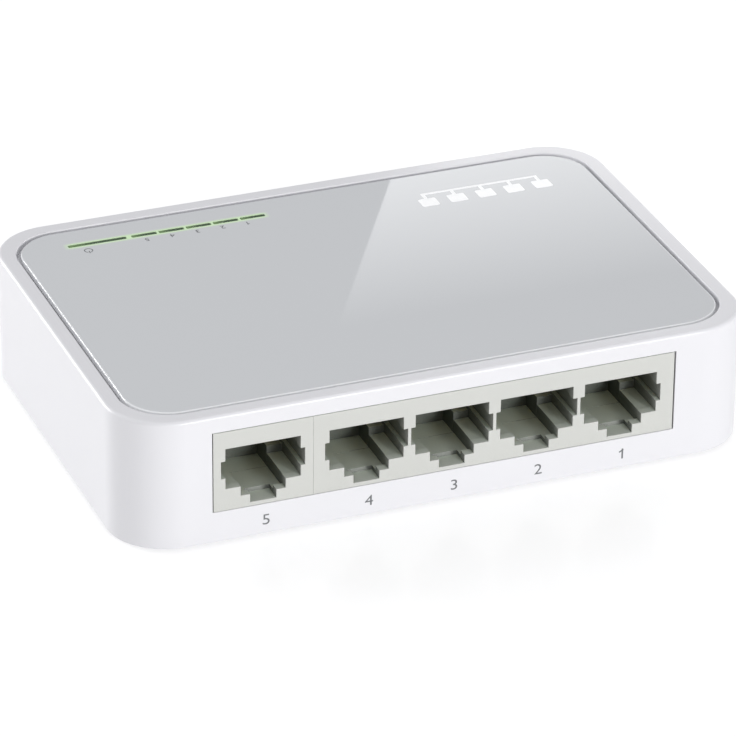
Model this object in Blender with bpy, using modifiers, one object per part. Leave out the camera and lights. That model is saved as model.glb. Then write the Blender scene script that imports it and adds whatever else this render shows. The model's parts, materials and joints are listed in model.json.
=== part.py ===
"""Five-port desktop network switch, modelled as it comes apart on a bench.

Frame: X runs along the port side (port 5 at -X), +Y runs from the ports to the indicator side,
+Z is up, and the origin is the centre of the footprint, on the surface the feet stand on.
Lengths are in metres; MM turns a figure in millimetres into metres.
"""

import math

import bmesh
import bpy
from mathutils import Matrix, Vector

MM = 0.001

# Case: one moulded housing, open underneath, with a flat base let into it.
WIDTH = 103.5 * MM
DEPTH = 70.0 * MM
HEIGHT = 22.0 * MM
CORNER_RADIUS = 9.6 * MM
RIM_FILLET = 0.6 * MM
WALL = 1.8 * MM
WEB = 1.2 * MM
BASE_THICKNESS = 1.6 * MM
FIT_GAP = 0.25 * MM
SEAT_GAP = 0.2 * MM
FOOT_PROUD = 0.4 * MM

# Top plate, lying in a recess of the housing with a groove all round it.
RIM_WIDTH = 2.55 * MM
RECESS_RADIUS = 8.1 * MM
GROOVE = 0.75 * MM
PLATE_DROP = 0.3 * MM
PLATE_THICKNESS = 0.8 * MM
PLATE_BEVEL = 0.2 * MM

# Eight-way modular sockets, latch side down. Heights are from the socket's underside.
PORT_PITCH = 13.95 * MM
GANG_PORTS = 4
GANG_LEFT_MARGIN = 8.5 * MM
GANG_RIGHT_MARGIN = 8.9 * MM
SINGLE_HALF_WIDTH = 7.95 * MM
JACK_SEAM = 0.2 * MM
PANEL_CENTRE_X = -0.2 * MM
JACK_HEIGHT = 13.4 * MM
JACK_LENGTH = 16.5 * MM
JACK_BOTTOM = 5.65 * MM
MOUTH_HALF_WIDTH = 6.0 * MM
MOUTH_FLOOR = 3.65 * MM
MOUTH_CEILING = 10.45 * MM
NOTCH_DEPTH = 0.7 * MM
NOTCH_LOW = 5.45 * MM
NOTCH_HIGH = 8.35 * MM
LATCH_HALF_WIDTH = 3.58 * MM
LATCH_FLOOR = 2.05 * MM
TAB_HALF_WIDTH = 2.08 * MM
TAB_FLOOR = 0.65 * MM
FRONT_WALL = 1.5 * MM
TAB_POCKET = 3.1 * MM
CHANNEL_FLOOR = 1.35 * MM
RAIL_LENGTH = 8.4 * MM
RAIL_STOP = 1.2 * MM
CAVITY_DEPTH = 12.6 * MM
RELIEF = 0.1 * MM
PEG_RADIUS = 1.5 * MM
PEG_SPREAD = 5.0 * MM
PEG_SETBACK = 9.5 * MM

# Contact springs: eight arms on a bar that lies behind the mouth's upper lip.
CONTACTS = 8
CONTACT_PITCH = 1.016 * MM
CONTACT_WIDTH = 0.45 * MM
CONTACT_THICKNESS = 0.35 * MM
CONTACT_ARM = 8.6 * MM
CONTACT_SLOPE = math.radians(25.0)
BAY_HALF_WIDTH = 4.6 * MM
BAY_CEILING = 12.8 * MM
INSERT_THICKNESS = 0.9 * MM
HINGE_BAR = 0.8 * MM
HINGE_SETBACK = 2.2 * MM
HINGE_HEIGHT = 10.9 * MM
INSERT_WALL = 2.0 * MM

# Circuit board and what stands on it.
BOARD_THICKNESS = 1.6 * MM
BOARD_CLEARANCE = 0.9 * MM
POST_RADIUS = 2.4 * MM
PIN_RADIUS = 1.5 * MM
POST_INSET = 7.25 * MM
FRONT_POST_BEHIND_JACK = 1.6 * MM

TRANSFORMER = Vector((12.6, 7.0, 5.2)) * MM
TRANSFORMER_BEHIND_JACK = 8.5 * MM
TRANSFORMER_SPAN = 9.6 * MM
TRANSFORMER_PITCH = 1.27 * MM
CHIP = Vector((14.0, 14.0, 1.5)) * MM
CHIP_X = 4.0 * MM
CHIP_BEHIND_TRANSFORMERS = 18.0 * MM
CHIP_SPAN = 16.6 * MM
CHIP_PITCH = 0.8 * MM
LEAD_HEIGHT = 0.5 * MM
LEAD_THICKNESS = 0.3 * MM
CRYSTAL = Vector((4.6, 11.0, 3.6)) * MM
CRYSTAL_FROM_CHIP = 2.9 * MM
CRYSTAL_ROUND = 2.2 * MM
INDUCTOR = Vector((6.8, 6.8, 3.2)) * MM
REGULATOR = Vector((6.5, 3.6, 1.7)) * MM
DIODE = Vector((4.6, 2.6, 2.2)) * MM
PACKAGE_EDGE = 0.3 * MM
INPUT_CAN_RADIUS = 3.15 * MM
INPUT_CAN_HEIGHT = 7.0 * MM
OUTPUT_CAN_RADIUS = 2.5 * MM
OUTPUT_CAN_HEIGHT = 5.5 * MM
CAN_LIP = 0.3 * MM

# Barrel power socket in the right-hand side wall.
DC_FROM_BACK = 17.0 * MM
DC_WIDTH = 9.0 * MM
DC_HEIGHT = 10.8 * MM
DC_LENGTH = 12.0 * MM
DC_AXIS_HEIGHT = 6.3 * MM
DC_COLLAR_RADIUS = 4.0 * MM
DC_BORE_RADIUS = 3.15 * MM
DC_BORE_DEPTH = 9.6 * MM
DC_PIN_RADIUS = 1.0 * MM
DC_PIN_RECESS = 1.2 * MM
DC_LEAF_WIDTH = 2.2 * MM
DC_LEAF_THICKNESS = 0.3 * MM
DC_LEAF_LENGTH = 6.4 * MM
DC_LEAF_SLOPE = math.radians(7.0)

# Indicator row and its light guide.
LAMP_FROM_BACK = 8.7 * MM
BAR_WIDTH = 0.6 * MM
PORT_BAR_LENGTH = 4.0 * MM
PORT_BAR_PITCH = 4.6 * MM
POWER_BAR_LENGTH = 9.5 * MM
POWER_BAR_FROM_SIDE = 11.55 * MM
POWER_BAR_SPACING = 1.1 * MM
BAR_GAP = 0.12 * MM
GUIDE_RAIL = 1.6 * MM
GUIDE_RAIL_WIDTH = 2.0 * MM
GUIDE_LEG = 1.6 * MM
LED_SIZE = Vector((2.0, 1.25, 0.9)) * MM

# Underside: feet, screws, vents and label recess.
FOOT_RADIUS = 5.0 * MM
FOOT_RECESS = 0.8 * MM
FOOT_INSET = 10.5 * MM
SCREW_PAD_RADIUS = 4.1 * MM
SCREW_PAD_CLEARANCE = 0.35 * MM
SCREW_BOSS_RADIUS = 3.2 * MM
SCREW_HEAD_RADIUS = 2.6 * MM
SCREW_HEAD_HEIGHT = 1.7 * MM
SCREW_SHANK_RADIUS = 1.3 * MM
SCREW_SHANK_LENGTH = 9.0 * MM
SCREW_WELL_DEPTH = 2.6 * MM
THREAD_GAP = 0.15 * MM
VENTS = 9
VENT_PITCH = 4.0 * MM
VENT_WIDTH = 1.6 * MM
VENT_LENGTH = 9.0 * MM
VENT_FROM_CENTRE = 19.0 * MM
LABEL_WIDTH = 44.0 * MM
LABEL_DEPTH = 24.0 * MM
LABEL_THICKNESS = 0.15 * MM
LABEL_RECESS = 0.35 * MM

CORNER_STEPS = 8
ROUND_STEPS = 24
PAST = 1.0 * MM

# Heights and faces that the pieces share.
FRONT = -DEPTH / 2
BACK = DEPTH / 2
SIDE = WIDTH / 2
CASE_BOTTOM = FOOT_PROUD
BASE_TOP = CASE_BOTTOM + BASE_THICKNESS
BOARD_TOP = JACK_BOTTOM - SEAT_GAP
BOARD_BOTTOM = BOARD_TOP - BOARD_THICKNESS
PLATE_TOP = HEIGHT - PLATE_DROP
PLATE_BOTTOM = PLATE_TOP - PLATE_THICKNESS
WEB_TOP = PLATE_BOTTOM - SEAT_GAP
WEB_BOTTOM = WEB_TOP - WEB
PARTS_FLOOR = BOARD_TOP + SEAT_GAP
SCREW_INSET = WALL + SCREW_PAD_RADIUS + SCREW_PAD_CLEARANCE
TRANSFORMER_Y = FRONT + JACK_LENGTH + TRANSFORMER_BEHIND_JACK
CHIP_Y = TRANSFORMER_Y + CHIP_BEHIND_TRANSFORMERS

# Port centres along X, and the two socket blocks' ends.
GANG_WIDTH = GANG_LEFT_MARGIN + (GANG_PORTS - 1) * PORT_PITCH + GANG_RIGHT_MARGIN
PANEL_WIDTH = 2 * SINGLE_HALF_WIDTH + JACK_SEAM + GANG_WIDTH
PANEL_LEFT = PANEL_CENTRE_X - PANEL_WIDTH / 2
PANEL_RIGHT = PANEL_CENTRE_X + PANEL_WIDTH / 2
SINGLE_RIGHT = PANEL_LEFT + 2 * SINGLE_HALF_WIDTH
GANG_LEFT = SINGLE_RIGHT + JACK_SEAM
PORT_X = {5: PANEL_LEFT + SINGLE_HALF_WIDTH}
for place in range(GANG_PORTS):
    PORT_X[GANG_PORTS - place] = GANG_LEFT + GANG_LEFT_MARGIN + place * PORT_PITCH


def clear_scene():
    for obj in list(bpy.data.objects):
        bpy.data.objects.remove(obj, do_unlink=True)


def new_collection(name):
    collection = bpy.data.collections.new(name)
    bpy.context.scene.collection.children.link(collection)
    return collection


def material(name, colour, roughness, metallic=0.0):
    made = bpy.data.materials.new(name)
    made.use_nodes = True
    shader = made.node_tree.nodes["Principled BSDF"]
    shader.inputs["Base Color"].default_value = (*colour, 1.0)
    shader.inputs["Roughness"].default_value = roughness
    shader.inputs["Metallic"].default_value = metallic
    return made


clear_scene()
PARTS = new_collection("desktop_network_switch")
CUTTERS = new_collection("cutters")

WHITE_ABS = material("white_abs", (0.86, 0.86, 0.88), 0.35)
GREY_PLATE = material("grey_plate", (0.55, 0.57, 0.59), 0.15)
JACK_PLASTIC = material("jack_plastic", (0.68, 0.68, 0.65), 0.45)
CLEAR_ACRYLIC = material("clear_acrylic", (0.35, 0.65, 0.25), 0.1)
BOARD_GREEN = material("board_green", (0.03, 0.17, 0.07), 0.4)
BLACK_EPOXY = material("black_epoxy", (0.02, 0.02, 0.022), 0.5)
BLACK_PLASTIC = material("black_plastic", (0.03, 0.03, 0.03), 0.4)
GOLD = material("gold_plating", (0.85, 0.62, 0.25), 0.25, 1.0)
TINNED = material("tinned_steel", (0.6, 0.6, 0.58), 0.3, 1.0)
CAN_ALUMINIUM = material("can_aluminium", (0.7, 0.7, 0.72), 0.3, 1.0)
FERRITE = material("ferrite", (0.06, 0.06, 0.065), 0.6)
RUBBER = material("grey_rubber", (0.25, 0.25, 0.25), 0.8)
LED_RESIN = material("led_resin", (0.75, 0.85, 0.6), 0.3)
LABEL_FILM = material("label_film", (0.8, 0.8, 0.8), 0.5)


def add_object(name, mesh, centre, finish):
    """A part when it has a finish, and otherwise a cutter or a piece to be joined on."""
    obj = bpy.data.objects.new(name, mesh)
    obj.location = centre
    if finish:
        mesh.materials.append(finish)
        PARTS.objects.link(obj)
    else:
        obj.hide_render = True
        obj.display_type = "WIRE"
        CUTTERS.objects.link(obj)
    return obj


def mesh_from(name, bm):
    mesh = bpy.data.meshes.new(name)
    bm.to_mesh(mesh)
    bm.free()
    return mesh


def box(name, low, high, finish=None, corner=0.0, top_edge=0.0):
    """A block between two opposite corners, with rounded upright edges and a rounded top rim."""
    low = Vector(low)
    high = Vector(high)
    size = high - low
    bm = bmesh.new()
    bmesh.ops.create_cube(bm, size=1.0)
    bmesh.ops.scale(bm, vec=size, verts=bm.verts)
    if corner:
        upright = [e for e in bm.edges if abs(e.verts[0].co.z - e.verts[1].co.z) > size.z / 2]
        bmesh.ops.bevel(
            bm, geom=upright, offset=corner, segments=CORNER_STEPS, profile=0.5, affect="EDGES"
        )
    if top_edge:
        rim = [e for e in bm.edges if min(v.co.z for v in e.verts) > size.z / 2 - 0.01 * MM]
        bmesh.ops.bevel(bm, geom=rim, offset=top_edge, segments=3, profile=0.5, affect="EDGES")
    return add_object(name, mesh_from(name, bm), (low + high) / 2, finish)


def blocks(name, boxes, finish=None):
    """Several separate blocks in one mesh, each given as its centre and size."""
    bm = bmesh.new()
    for centre, size in boxes:
        place = Matrix.Translation(centre) @ Matrix.Diagonal((*size, 1.0))
        bmesh.ops.create_cube(bm, size=1.0, matrix=place)
    return add_object(name, mesh_from(name, bm), (0, 0, 0), finish)


def rod(name, start, end, radius, finish=None, steps=ROUND_STEPS):
    """A round bar from one point to another."""
    start = Vector(start)
    end = Vector(end)
    bm = bmesh.new()
    bmesh.ops.create_cone(
        bm, cap_ends=True, segments=steps, radius1=radius, radius2=radius, depth=(end - start).length
    )
    obj = add_object(name, mesh_from(name, bm), (start + end) / 2, finish)
    obj.rotation_mode = "QUATERNION"
    obj.rotation_quaternion = (end - start).to_track_quat("Z", "Y")
    return obj


def turned(name, profile, centre, finish):
    """A turned piece: its (radius, height) profile runs from the top of its axis to the bottom."""
    bm = bmesh.new()
    points = [bm.verts.new((radius, 0.0, height)) for radius, height in profile]
    for one, other in zip(points, points[1:]):
        bm.edges.new((one, other))
    obj = add_object(name, mesh_from(name, bm), centre, finish)
    screw = obj.modifiers.new("turn", "SCREW")
    screw.steps = ROUND_STEPS
    screw.render_steps = ROUND_STEPS
    screw.use_merge_vertices = True
    screw.merge_threshold = 0.00001
    screw.use_smooth_shade = True
    return obj


def combine(obj, pieces, operation):
    for piece in pieces:
        change = obj.modifiers.new(piece.name, "BOOLEAN")
        change.operation = operation
        change.solver = "EXACT"
        change.object = piece


def cut(obj, *cutters):
    combine(obj, cutters, "DIFFERENCE")


def join(obj, *pieces):
    combine(obj, pieces, "UNION")


def smooth(obj, degrees=30.0):
    obj.data.shade_smooth()
    obj.data.set_sharp_from_angle(angle=math.radians(degrees))


def lamp_bars():
    """Name, centre along X and length of each light bar, from the power bar to port 1."""
    left = -SIDE + POWER_BAR_FROM_SIDE
    bars = [("power", left + POWER_BAR_LENGTH / 2, POWER_BAR_LENGTH)]
    first = left + POWER_BAR_LENGTH + POWER_BAR_SPACING + PORT_BAR_LENGTH / 2
    for step, port in enumerate((5, 4, 3, 2, 1)):
        bars.append((f"port_{port}", first + step * PORT_BAR_PITCH, PORT_BAR_LENGTH))
    return bars


LAMP_Y = BACK - LAMP_FROM_BACK
SCREW_PLACES = {"left": (-SIDE + SCREW_INSET, 0.0), "right": (SIDE - SCREW_INSET, 0.0)}
POST_PLACES = [
    (-SIDE + POST_INSET, FRONT + JACK_LENGTH + FRONT_POST_BEHIND_JACK),
    (SIDE - POST_INSET, FRONT + JACK_LENGTH + FRONT_POST_BEHIND_JACK),
    (-SIDE + POST_INSET, BACK - POST_INSET),
    (SIDE - POST_INSET, BACK - POST_INSET),
]
DC_Y = BACK - DC_FROM_BACK
DC_Z = PARTS_FLOOR + DC_AXIS_HEIGHT


def bar_slots(name, low, high):
    """The slots through which the guide's blades reach the top."""
    slots = []
    for _, centre_x, length in lamp_bars():
        centre = (centre_x, LAMP_Y, (low + high) / 2)
        slots.append((centre, (length + 2 * BAR_GAP, BAR_WIDTH + 2 * BAR_GAP, high - low)))
    return blocks(name, slots)


def make_top_housing():
    shell = box(
        "top_housing", (-SIDE, FRONT, CASE_BOTTOM), (SIDE, BACK, HEIGHT), WHITE_ABS,
        corner=CORNER_RADIUS, top_edge=RIM_FILLET,
    )
    inside_x = SIDE - WALL
    inside_y = BACK - WALL
    cavity = box(
        "housing_cavity", (-inside_x, -inside_y, CASE_BOTTOM - PAST), (inside_x, inside_y, WEB_BOTTOM),
        corner=CORNER_RADIUS - WALL,
    )
    recess = box(
        "plate_recess", (-SIDE + RIM_WIDTH, FRONT + RIM_WIDTH, WEB_TOP),
        (SIDE - RIM_WIDTH, BACK - RIM_WIDTH, HEIGHT + PAST), corner=RECESS_RADIUS,
    )
    window = box(
        "port_window", (PANEL_LEFT - FIT_GAP, FRONT - PAST, JACK_BOTTOM - FIT_GAP),
        (PANEL_RIGHT + FIT_GAP, FRONT + JACK_LENGTH + FIT_GAP, JACK_BOTTOM + JACK_HEIGHT + FIT_GAP),
    )
    power_hole = rod(
        "power_hole", (SIDE - WALL - PAST, DC_Y, DC_Z), (SIDE + PAST, DC_Y, DC_Z),
        DC_COLLAR_RADIUS + FIT_GAP,
    )
    cut(shell, cavity, recess, window, power_hole)
    cut(shell, bar_slots("housing_bar_slots", WEB_BOTTOM - PAST, WEB_TOP + PAST))
    bite = WEB_BOTTOM + WEB / 2
    for side, (x, y) in SCREW_PLACES.items():
        foot = CASE_BOTTOM + SCREW_WELL_DEPTH + BASE_THICKNESS + SEAT_GAP
        boss = rod(f"housing_boss_{side}", (x, y, foot), (x, y, bite), SCREW_BOSS_RADIUS)
        pilot_top = foot + SCREW_SHANK_LENGTH
        pilot = rod(
            f"housing_pilot_{side}", (x, y, foot - PAST), (x, y, pilot_top),
            SCREW_SHANK_RADIUS + THREAD_GAP,
        )
        join(shell, boss)
        cut(shell, pilot)
    for number, (x, y) in enumerate(POST_PLACES):
        pin = rod(
            f"hold_down_pin_{number}", (x, y, BOARD_TOP + SEAT_GAP), (x, y, bite), PIN_RADIUS, steps=12
        )
        join(shell, pin)
    smooth(shell)


def make_base_cover():
    edge_x = SIDE - WALL - FIT_GAP
    edge_y = BACK - WALL - FIT_GAP
    base = box(
        "base_cover", (-edge_x, -edge_y, CASE_BOTTOM), (edge_x, edge_y, BASE_TOP), WHITE_ABS,
        corner=CORNER_RADIUS - WALL - FIT_GAP,
    )
    slots = []
    for row in (-1, 1):
        for number in range(VENTS):
            x = (number - (VENTS - 1) / 2) * VENT_PITCH
            centre = (x, row * VENT_FROM_CENTRE, (CASE_BOTTOM + BASE_TOP) / 2)
            slots.append((centre, (VENT_WIDTH, VENT_LENGTH, BASE_THICKNESS + 2 * PAST)))
    cut(base, blocks("vent_slots", slots))
    label_low = (-LABEL_WIDTH / 2 - FIT_GAP, -LABEL_DEPTH / 2 - FIT_GAP, CASE_BOTTOM - PAST)
    label_high = (LABEL_WIDTH / 2 + FIT_GAP, LABEL_DEPTH / 2 + FIT_GAP, CASE_BOTTOM + LABEL_RECESS)
    cut(base, box("label_recess", label_low, label_high))
    for name, (x, y) in foot_places().items():
        well = rod(
            f"recess_{name}", (x, y, CASE_BOTTOM - PAST), (x, y, CASE_BOTTOM + FOOT_RECESS),
            FOOT_RADIUS + FIT_GAP,
        )
        cut(base, well)
    for side, (x, y) in SCREW_PLACES.items():
        seat = CASE_BOTTOM + SCREW_WELL_DEPTH
        pad = rod(
            f"screw_pad_{side}", (x, y, CASE_BOTTOM + BASE_THICKNESS / 2),
            (x, y, seat + BASE_THICKNESS), SCREW_PAD_RADIUS,
        )
        head_well = rod(
            f"head_well_{side}", (x, y, CASE_BOTTOM - PAST), (x, y, seat), SCREW_HEAD_RADIUS + FIT_GAP
        )
        shank_hole = rod(
            f"shank_hole_{side}", (x, y, seat - PAST), (x, y, seat + BASE_THICKNESS + PAST),
            SCREW_SHANK_RADIUS + 2 * THREAD_GAP,
        )
        join(base, pad)
        cut(base, head_well, shank_hole)
    for number, (x, y) in enumerate(POST_PLACES):
        post = rod(
            f"board_post_{number}", (x, y, BASE_TOP - BASE_THICKNESS / 2),
            (x, y, BOARD_BOTTOM - SEAT_GAP), POST_RADIUS, steps=16,
        )
        join(base, post)
    smooth(base)


def make_top_plate():
    inset = RIM_WIDTH + GROOVE
    plate = box(
        "top_plate", (-SIDE + inset, FRONT + inset, PLATE_BOTTOM),
        (SIDE - inset, BACK - inset, PLATE_TOP), GREY_PLATE,
        corner=RECESS_RADIUS - GROOVE, top_edge=PLATE_BEVEL,
    )
    cut(plate, bar_slots("plate_bar_slots", PLATE_BOTTOM - PAST, PLATE_TOP + PAST))
    smooth(plate)


def make_light_guide():
    bars = lamp_bars()
    left = bars[0][1] - POWER_BAR_LENGTH / 2
    right = bars[-1][1] + PORT_BAR_LENGTH / 2
    rail_top = WEB_BOTTOM - SEAT_GAP
    rail_bottom = rail_top - GUIDE_RAIL
    half = GUIDE_RAIL_WIDTH / 2
    rail = box(
        "light_guide", (left, LAMP_Y - half, rail_bottom), (right, LAMP_Y + half, rail_top),
        CLEAR_ACRYLIC,
    )
    blade_bottom = rail_top - GUIDE_RAIL / 2
    leg_top = rail_bottom + GUIDE_RAIL / 2
    leg_bottom = PARTS_FLOOR + LED_SIZE.z + SEAT_GAP
    blades = []
    legs = []
    for _, x, length in bars:
        blade_centre = (x, LAMP_Y, (blade_bottom + PLATE_TOP) / 2)
        blades.append((blade_centre, (length, BAR_WIDTH, PLATE_TOP - blade_bottom)))
        leg_centre = (x, LAMP_Y, (leg_bottom + leg_top) / 2)
        legs.append((leg_centre, (GUIDE_LEG, GUIDE_LEG, leg_top - leg_bottom)))
    join(rail, blocks("guide_blades", blades), blocks("guide_legs", legs))


def make_leds():
    for name, x, _ in lamp_bars():
        low = Vector((x, LAMP_Y, PARTS_FLOOR)) - Vector((LED_SIZE.x / 2, LED_SIZE.y / 2, 0))
        box(f"led_{name}", low, low + LED_SIZE, LED_RESIN)


def make_board():
    side = SIDE - WALL - BOARD_CLEARANCE
    front = FRONT + WALL + BOARD_CLEARANCE
    board = box(
        "circuit_board", (-side, front, BOARD_BOTTOM), (side, -front, BOARD_TOP), BOARD_GREEN,
        corner=CORNER_RADIUS - WALL - BOARD_CLEARANCE,
    )
    for name, (x, y) in SCREW_PLACES.items():
        reach = SCREW_PAD_RADIUS + BOARD_CLEARANCE
        low = (x - reach, y - reach, BOARD_BOTTOM - PAST)
        high = (x + reach, y + reach, BOARD_TOP + PAST)
        cut(board, box(f"board_notch_{name}", low, high))
    for port, x in PORT_X.items():
        for hand in (-1, 1):
            peg_x = x + hand * PEG_SPREAD
            hole = rod(
                f"peg_hole_{port}_{hand + 1}", (peg_x, FRONT + PEG_SETBACK, BOARD_BOTTOM - PAST),
                (peg_x, FRONT + PEG_SETBACK, BOARD_TOP + PAST), PEG_RADIUS + THREAD_GAP, steps=12,
            )
            cut(board, hole)


def cut_section(jack, name, x, bands, near, far):
    """Cuts a stepped section, centred on x, through the jack from near to far along Y.

    Each band is a half width and its two heights above the jack's underside.
    """
    for number, (half, low, high) in enumerate(bands):
        corner_low = (x - half, near, JACK_BOTTOM + low)
        corner_high = (x + half, far, JACK_BOTTOM + high)
        cut(jack, box(f"{name}_{number}", corner_low, corner_high))


def socket_bands(grow, floor, latch_floor):
    """The plug's own space, its side notches and the latch channel, widened all round by grow."""
    half = MOUTH_HALF_WIDTH + grow
    return [
        (half, floor, MOUTH_CEILING + grow),
        (half + NOTCH_DEPTH, NOTCH_LOW - grow, NOTCH_HIGH + grow),
        (LATCH_HALF_WIDTH + grow, latch_floor, floor + PAST),
    ]


def hollow_socket(jack, port, x):
    """The mouth, its room, the latch channel, the contact bay and the way in for the insert."""
    mouth = socket_bands(0.0, MOUTH_FLOOR, LATCH_FLOOR)
    mouth.append((TAB_HALF_WIDTH, TAB_FLOOR, LATCH_FLOOR + PAST))
    cut_section(jack, f"mouth_{port}", x, mouth, FRONT - PAST, FRONT + TAB_POCKET)
    room = socket_bands(RELIEF, MOUTH_FLOOR - RELIEF, CHANNEL_FLOOR)
    cut_section(jack, f"room_{port}", x, room, FRONT + FRONT_WALL, FRONT + RAIL_LENGTH)
    nose = socket_bands(RELIEF / 2, MOUTH_FLOOR + RAIL_STOP, CHANNEL_FLOOR + RELIEF / 2)
    cut_section(jack, f"nose_{port}", x, nose, FRONT + FRONT_WALL + RELIEF, FRONT + CAVITY_DEPTH)
    bay = box(
        f"bay_{port}",
        (x - BAY_HALF_WIDTH, FRONT + FRONT_WALL - RELIEF, JACK_BOTTOM + MOUTH_CEILING - PAST),
        (x + BAY_HALF_WIDTH, FRONT + JACK_LENGTH + PAST, JACK_BOTTOM + BAY_CEILING),
    )
    rear_slot = box(
        f"rear_slot_{port}",
        (x - BAY_HALF_WIDTH + RELIEF, FRONT + JACK_LENGTH - INSERT_WALL - FIT_GAP, JACK_BOTTOM - PAST),
        (x + BAY_HALF_WIDTH - RELIEF, FRONT + JACK_LENGTH + PAST / 2, JACK_BOTTOM + BAY_CEILING - RELIEF),
    )
    cut(jack, bay, rear_slot)
    for hand in (-1, 1):
        peg_x = x + hand * PEG_SPREAD
        peg = rod(
            f"peg_{port}_{hand + 1}", (peg_x, FRONT + PEG_SETBACK, BOARD_BOTTOM),
            (peg_x, FRONT + PEG_SETBACK, JACK_BOTTOM + TAB_FLOOR), PEG_RADIUS, steps=12,
        )
        join(jack, peg)


def make_jack_housings():
    top = JACK_BOTTOM + JACK_HEIGHT
    rear = FRONT + JACK_LENGTH
    single = box(
        "jack_housing_port_5", (PANEL_LEFT, FRONT, JACK_BOTTOM), (SINGLE_RIGHT, rear, top), JACK_PLASTIC
    )
    hollow_socket(single, 5, PORT_X[5])
    gang = box(
        "jack_housing_ports_1_to_4", (GANG_LEFT, FRONT, JACK_BOTTOM), (PANEL_RIGHT, rear, top),
        JACK_PLASTIC,
    )
    for port in range(GANG_PORTS, 0, -1):
        hollow_socket(gang, port, PORT_X[port])


def make_contacts():
    insert_top = JACK_BOTTOM + BAY_CEILING - RELIEF - FIT_GAP
    insert_half = BAY_HALF_WIDTH - RELIEF - FIT_GAP
    rear = FRONT + JACK_LENGTH
    hinge_y = FRONT + HINGE_SETBACK
    hinge_z = JACK_BOTTOM + HINGE_HEIGHT
    for port, x in PORT_X.items():
        insert = box(
            f"contact_insert_{port}",
            (x - insert_half, FRONT + FRONT_WALL + FIT_GAP, insert_top - INSERT_THICKNESS),
            (x + insert_half, rear, insert_top), BLACK_PLASTIC,
        )
        down_leg = box(
            f"insert_leg_{port}", (x - insert_half + RELIEF, rear - INSERT_WALL, JACK_BOTTOM),
            (x + insert_half - RELIEF, rear - RELIEF, insert_top - INSERT_THICKNESS / 2),
        )
        join(insert, down_leg)
        arms = []
        for number in range(CONTACTS):
            across = (number - (CONTACTS - 1) / 2) * CONTACT_PITCH
            arms.append(((across, CONTACT_ARM / 2, 0), (CONTACT_WIDTH, CONTACT_ARM, CONTACT_THICKNESS)))
        comb = blocks(f"contact_arms_{port}", arms)
        comb.location = (x, hinge_y, hinge_z)
        comb.rotation_euler = (-CONTACT_SLOPE, 0, 0)
        half_bar = HINGE_BAR / 2
        bar_half_width = CONTACTS * CONTACT_PITCH / 2
        springs = box(
            f"contact_springs_{port}", (x - bar_half_width, hinge_y - half_bar, hinge_z - half_bar),
            (x + bar_half_width, hinge_y + half_bar, hinge_z + half_bar), GOLD,
        )
        join(springs, comb)


def make_power_socket():
    front = SIDE - WALL - FIT_GAP
    back = front - DC_LENGTH
    mouth = SIDE - FIT_GAP
    bore_end = mouth - DC_BORE_DEPTH
    half = DC_WIDTH / 2
    housing = box(
        "dc_jack_housing", (back, DC_Y - half, PARTS_FLOOR),
        (front, DC_Y + half, PARTS_FLOOR + DC_HEIGHT), BLACK_PLASTIC,
    )
    collar = rod(
        "dc_collar", (front - PAST, DC_Y, DC_Z), (mouth, DC_Y, DC_Z), DC_COLLAR_RADIUS
    )
    bore = rod("dc_bore", (bore_end, DC_Y, DC_Z), (mouth + PAST, DC_Y, DC_Z), DC_BORE_RADIUS)
    pin_hole = rod(
        "dc_pin_hole", (back - PAST, DC_Y, DC_Z), (bore_end + PAST, DC_Y, DC_Z),
        DC_PIN_RADIUS + THREAD_GAP, steps=16,
    )
    leaf_half = DC_LEAF_WIDTH / 2
    slot_floor = DC_Z - DC_BORE_RADIUS - PAST
    slot = box(
        "dc_leaf_slot", (back - PAST, DC_Y - leaf_half - FIT_GAP, slot_floor),
        (bore_end + DC_LEAF_LENGTH + PAST, DC_Y + leaf_half + FIT_GAP, DC_Z - DC_PIN_RADIUS - PAST),
    )
    join(housing, collar)
    cut(housing, bore, pin_hole, slot)
    tip = mouth - DC_PIN_RECESS
    rounding = DC_PIN_RADIUS / 3
    length = tip - back
    profile = [
        (0, length), (DC_PIN_RADIUS - rounding, length), (DC_PIN_RADIUS, length - rounding),
        (DC_PIN_RADIUS, 0), (0, 0),
    ]
    pin = turned("dc_centre_pin", profile, (back, DC_Y, DC_Z), TINNED)
    pin.rotation_euler = (0, math.pi / 2, 0)
    leaf_height = DC_Z - DC_BORE_RADIUS - 0.45 * PAST
    leaf = box(
        "dc_spring_contact", (0, -leaf_half, -DC_LEAF_THICKNESS / 2),
        (DC_LEAF_LENGTH, leaf_half, DC_LEAF_THICKNESS / 2), TINNED,
    )
    shift = leaf.location.copy()
    leaf.data.transform(Matrix.Translation(shift))
    leaf.location = (bore_end, DC_Y, leaf_height)
    leaf.rotation_euler = (0, -DC_LEAF_SLOPE, 0)


def leads(count, pitch, reach, span, z, along_x):
    """Two facing rows of leads, as blocks round the origin: count a row, span from row to row."""
    made = []
    for number in range(count):
        offset = (number - (count - 1) / 2) * pitch
        for hand in (-1, 1):
            across = hand * (span - reach) / 2
            width = pitch * 0.4
            if along_x:
                made.append(((offset, across, z), (width, reach, LEAD_THICKNESS)))
            else:
                made.append(((across, offset, z), (reach, width, LEAD_THICKNESS)))
    return made


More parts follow.
